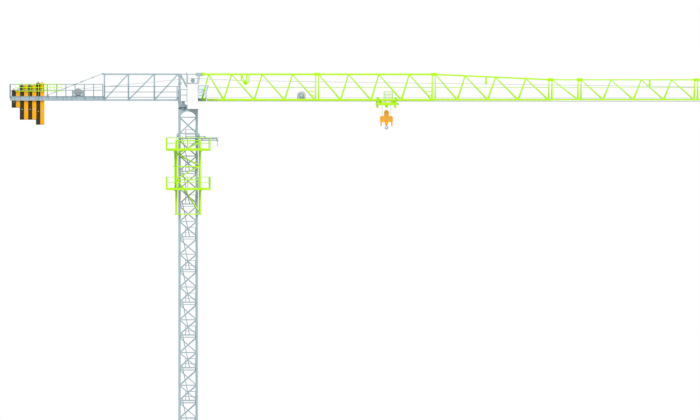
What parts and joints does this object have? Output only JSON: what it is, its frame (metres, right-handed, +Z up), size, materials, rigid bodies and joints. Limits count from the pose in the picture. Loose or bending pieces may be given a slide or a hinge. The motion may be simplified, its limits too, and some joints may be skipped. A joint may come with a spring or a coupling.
{
  "type": "flat-top tower crane scale model 1:2",
  "caption": "Flat-top tower crane on a crossed ground frame, with climbing cage, slewing jib and counter jib, trolley and hook; scale model at 1:2.",
  "frame": {"origin": "mast axis at ground level, on the lower face of the crossed ground beams", "axes": "+X along the jib towards its tip, +Z up; the cab is on the -Y side"},
  "size_m": [30.6853, 2.3526, 15.733],
  "materials": {
    "steel_grey": "satin",
    "steel_dark": "satin",
    "lime_paint": "satin",
    "yellow_paint": "satin",
    "slab_paint": "matte",
    "white_paint": "gloss",
    "winch_grey": "satin",
    "cab_glass": "clear",
    "rope_wire": "greased"
  },
  "bodies": {
    "mast": {"base_frame": "steel_grey", "mast_section_1": "steel_grey", "mast_section_2": "steel_grey", "mast_section_3": "steel_grey", "mast_section_4": "steel_grey", "mast_section_5": "steel_grey", "mast_section_6": "steel_grey", "mast_section_7": "steel_grey", "mast_section_8": "steel_grey", "mast_section_9": "steel_grey", "mast_ladders": "steel_grey", "mast_platforms": "steel_dark", "slewing_support": "steel_grey", "slewing_ring": "steel_dark", "feed_beams": "steel_grey"},
    "climbing_cage": {"cage_frame": "lime_paint", "cage_decks": "lime_paint", "cage_railings": "lime_paint", "cage_rollers": "steel_dark", "jacking_cylinder": "lime_paint", "jacking_yoke": "steel_dark"},
    "upperworks": {"turret_base": "steel_grey", "slewing_drive": "steel_dark", "tower_head": "steel_grey", "tower_platforms": "steel_grey", "cab_shell": "white_paint", "cab_glazing": "cab_glass", "counter_jib_truss": "steel_grey", "rear_deck": "steel_grey", "counter_jib_railings": "steel_grey", "tie_bars": "steel_grey", "hoist_winch_frame": "winch_grey", "counterweights_dark": "slab_paint", "counterweights_yellow": "yellow_paint", "sign_frame": "lime_paint", "jib_section_1": "lime_paint", "jib_section_2": "lime_paint", "jib_section_3": "lime_paint", "jib_section_4": "lime_paint", "jib_section_5": "lime_paint", "jib_tip": "lime_paint", "jib_walkway": "steel_dark", "rope_brackets": "lime_paint", "trolley_winch_frame": "steel_grey", "hoist_rope": "rope_wire", "trolley_rope": "rope_wire"},
    "slewing_pinion": {"slewing_pinion": "steel_dark"},
    "hoist_drum": {"hoist_drum": "winch_grey"},
    "trolley_drum": {"trolley_drum": "winch_grey"},
    "trolley": {"trolley_frame": "lime_paint", "trolley_wheels": "steel_dark", "trolley_sheaves": "winch_grey", "trolley_basket": "lime_paint"},
    "hook_block": {"hook_block_plates": "yellow_paint", "hook_block_sheaves": "winch_grey", "hoist_falls": "rope_wire"},
    "hook": {"hook": "winch_grey"}
  },
  "joints": [
    {"name": "slew", "type": "hinge", "parent": "mast", "child": "upperworks", "pos_m": [0, 0, 14.238], "axis": [0, 0, 1], "range_deg": [-540, 540]},
    {"name": "pinion_spin", "type": "hinge", "parent": "upperworks", "child": "slewing_pinion", "pos_m": [-0.23513, -0.42419, 14.2], "axis": [0, 0, 1], "range_deg": [-3500, 3500]},
    {"name": "hoist_drum_spin", "type": "hinge", "parent": "upperworks", "child": "hoist_drum", "pos_m": [-4.713, 0, 14.886], "axis": [0, 1, 0], "range_deg": [-90, 11700]},
    {"name": "trolley_drum_spin", "type": "hinge", "parent": "upperworks", "child": "trolley_drum", "pos_m": [4.841, 0, 14.7606], "axis": [0, 1, 0], "range_deg": [-3930, 7940]},
    {"name": "trolley_travel", "type": "slide", "parent": "upperworks", "child": "trolley", "axis": [1, 0, 0], "range_m": [-6.836, 13.833]},
    {"name": "hoist", "type": "slide", "parent": "trolley", "child": "hook_block", "axis": [0, 0, 1], "range_m": [-12.8, 0.08], "deforming": ["hoist_falls"]},
    {"name": "hook_swivel", "type": "hinge", "parent": "hook_block", "child": "hook", "pos_m": [8.486, 0, 13.377], "axis": [0, 0, 1], "continuous": true},
    {"name": "cage_climb", "type": "slide", "parent": "mast", "child": "climbing_cage", "axis": [0, 0, 1], "range_m": [-1.4, 0]}
  ],
  "couplings": [
    {"joint": "pinion_spin", "follows": "slew", "ratio": 6.4615},
    {"joint": "hoist_drum_spin", "follows": "hoist", "rad_per_m": -15.873},
    {"joint": "trolley_drum_spin", "follows": "trolley_travel", "rad_per_m": 10}
  ]
}
